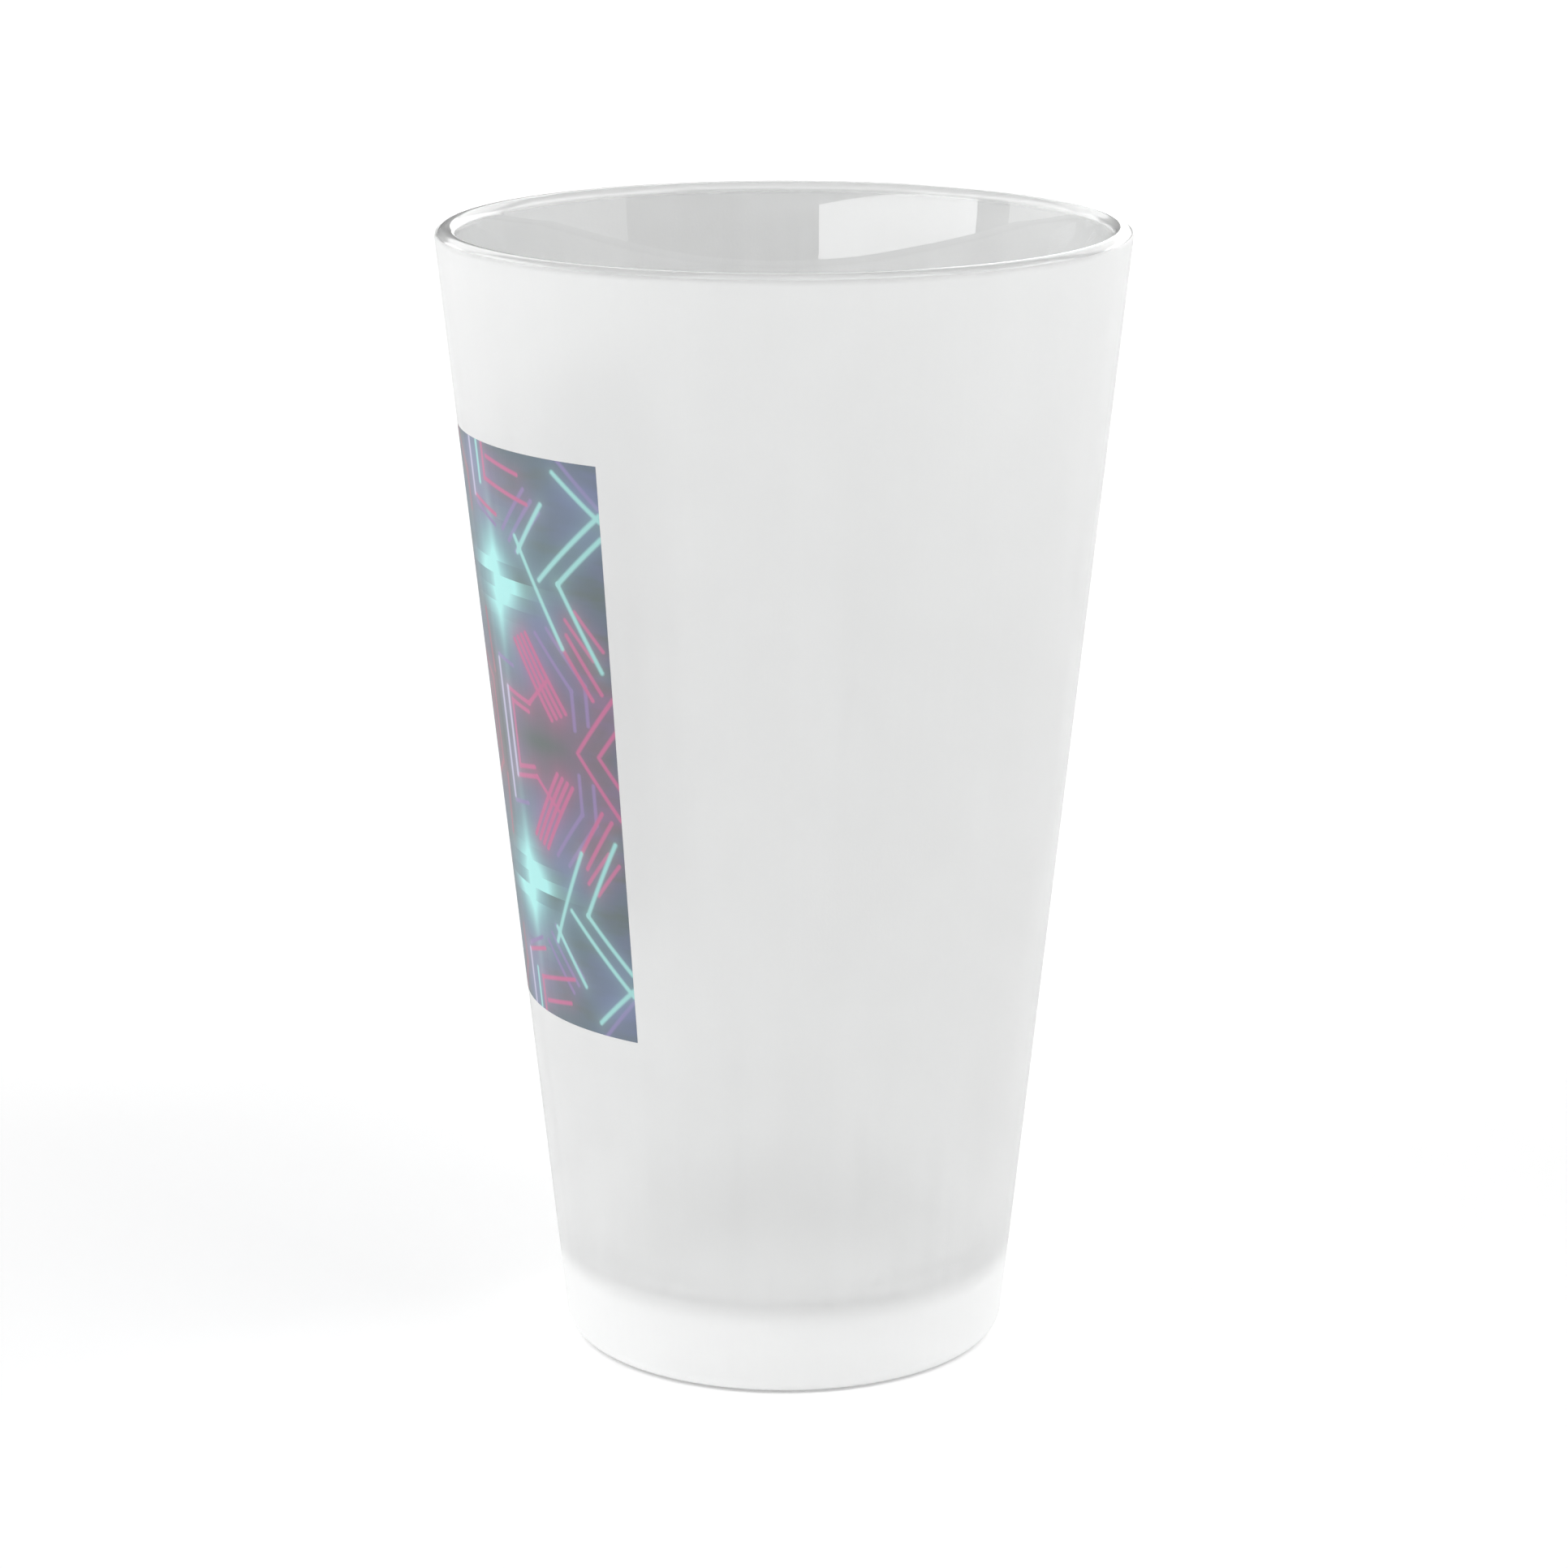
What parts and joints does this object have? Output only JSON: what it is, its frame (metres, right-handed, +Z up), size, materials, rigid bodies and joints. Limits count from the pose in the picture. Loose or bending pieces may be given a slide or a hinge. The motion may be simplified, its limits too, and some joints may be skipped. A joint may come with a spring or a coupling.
{
  "type": "pint glass",
  "caption": "Tapered straight-sided pint glass with a thick pressed base, a frosted outside and a square printed panel on its wall.",
  "frame": {"origin": "middle of the foot, on the surface that the glass stands on", "axes": "+Z up along the glass's axis, towards the mouth; the printed panel faces -Y"},
  "size_m": [0.0898, 0.0898, 0.1492],
  "materials": {
    "glass": "clear, pressed and fire-polished",
    "frost": "frosted",
    "print": "frosted"
  },
  "bodies": {
    "root": {"glass_body": "glass", "frosted_coating": "frost", "printed_panel": "print"}
  },
  "joints": []
}
